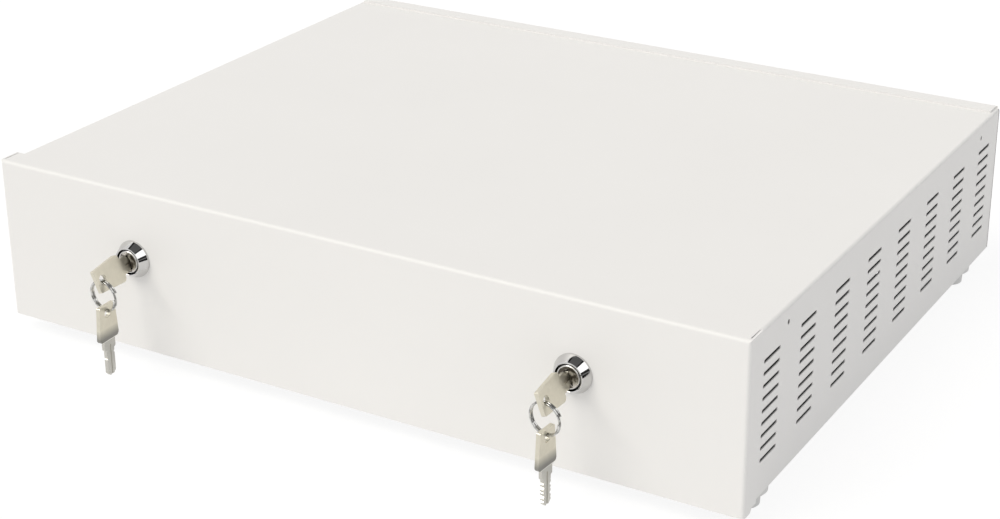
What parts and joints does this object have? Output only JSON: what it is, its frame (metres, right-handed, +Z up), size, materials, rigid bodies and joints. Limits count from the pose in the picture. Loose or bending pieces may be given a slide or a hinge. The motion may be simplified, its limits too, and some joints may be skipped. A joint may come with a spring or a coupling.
{
  "type": "recorder lock box",
  "caption": "Flat white sheet-steel lock box for a video recorder, with vented sides and a drop-down front door held by keyed cam locks.",
  "frame": {"origin": "on the floor under the middle of the bounding box, keys included", "axes": "+X to the right seen from the front, the door faces -Y, +Z up"},
  "size_m": [0.5, 0.441, 0.1135],
  "materials": {
    "white_paint": "white powder coat, satin with a fine orange-peel grain",
    "chrome": "polished chrome plate",
    "plug_metal": "turned, slightly dull",
    "key_nickel": "satin nickel",
    "bright_wire": "bright nickel-plated wire",
    "plated_steel": "zinc plated",
    "pale_rubber": "matt moulded",
    "black_rubber": "matt extruded"
  },
  "bodies": {
    "cabinet": {"wrapper_cover": "white_paint", "rear_panel": "white_paint", "cable_trim": "black_rubber", "base_tray": "white_paint", "hinge_body_leaf": "plated_steel", "hinge_pin": "plated_steel", "hinge_rivets": "plated_steel", "strike_left": "white_paint", "strike_right": "white_paint", "foot_front_left": "pale_rubber", "foot_front_right": "pale_rubber", "foot_rear_left": "pale_rubber", "foot_rear_right": "pale_rubber", "foot_screws": "plated_steel", "foot_nuts": "plated_steel"},
    "door": {"front_door": "white_paint", "hinge_door_leaf": "white_paint", "lock_housing_left": "chrome", "lock_nut_left": "plated_steel", "lock_housing_right": "chrome", "lock_nut_right": "plated_steel"},
    "plug_left": {"lock_plug_left": "plug_metal", "lock_cam_left": "plated_steel", "cam_washer_left": "plated_steel", "cam_screw_left": "plated_steel"},
    "inserted_key_left": {"key_left": "key_nickel"},
    "ring_left": {"key_ring_left": "bright_wire"},
    "hanging_key_left": {"spare_key_left": "key_nickel"},
    "plug_right": {"lock_plug_right": "plug_metal", "lock_cam_right": "plated_steel", "cam_washer_right": "plated_steel", "cam_screw_right": "plated_steel"},
    "inserted_key_right": {"key_right": "key_nickel"},
    "ring_right": {"key_ring_right": "bright_wire"},
    "hanging_key_right": {"spare_key_right": "key_nickel"}
  },
  "joints": [
    {"name": "door_hinge", "type": "hinge", "parent": "cabinet", "child": "door", "pos_m": [0, -0.17786, 0.0111], "axis": [1, 0, 0], "range_deg": [0, 90]},
    {"name": "plug_turn_left", "type": "hinge", "parent": "door", "child": "plug_left", "pos_m": [-0.149, -0.18096, 0.07], "axis": [0, -1, 0], "range_deg": [0, 90]},
    {"name": "key_slide_left", "type": "slide", "parent": "plug_left", "child": "inserted_key_left", "axis": [0, -1, 0], "range_m": [-0.0003, 0.02]},
    {"name": "ring_swing_left", "type": "hinge", "parent": "inserted_key_left", "child": "ring_left", "pos_m": [-0.1484, -0.21102, 0.06845], "axis": [1, 0, 0], "range_deg": [-90, 15]},
    {"name": "hanging_key_swing_left", "type": "hinge", "parent": "ring_left", "child": "hanging_key_left", "pos_m": [-0.14808, -0.21011, 0.04688], "axis": [1, 0, 0], "range_deg": [-60, 10]},
    {"name": "plug_turn_right", "type": "hinge", "parent": "door", "child": "plug_right", "pos_m": [0.149, -0.18096, 0.07], "axis": [0, 1, 0], "range_deg": [0, 90]},
    {"name": "key_slide_right", "type": "slide", "parent": "plug_right", "child": "inserted_key_right", "axis": [0, -1, 0], "range_m": [-0.0021, 0.02]},
    {"name": "ring_swing_right", "type": "hinge", "parent": "inserted_key_right", "child": "ring_right", "pos_m": [0.14952, -0.21282, 0.06842], "axis": [1, 0, 0], "range_deg": [-90, 15]},
    {"name": "hanging_key_swing_right", "type": "hinge", "parent": "ring_right", "child": "hanging_key_right", "pos_m": [0.14975, -0.2119, 0.04683], "axis": [1, 0, 0], "range_deg": [-60, 10]}
  ]
}
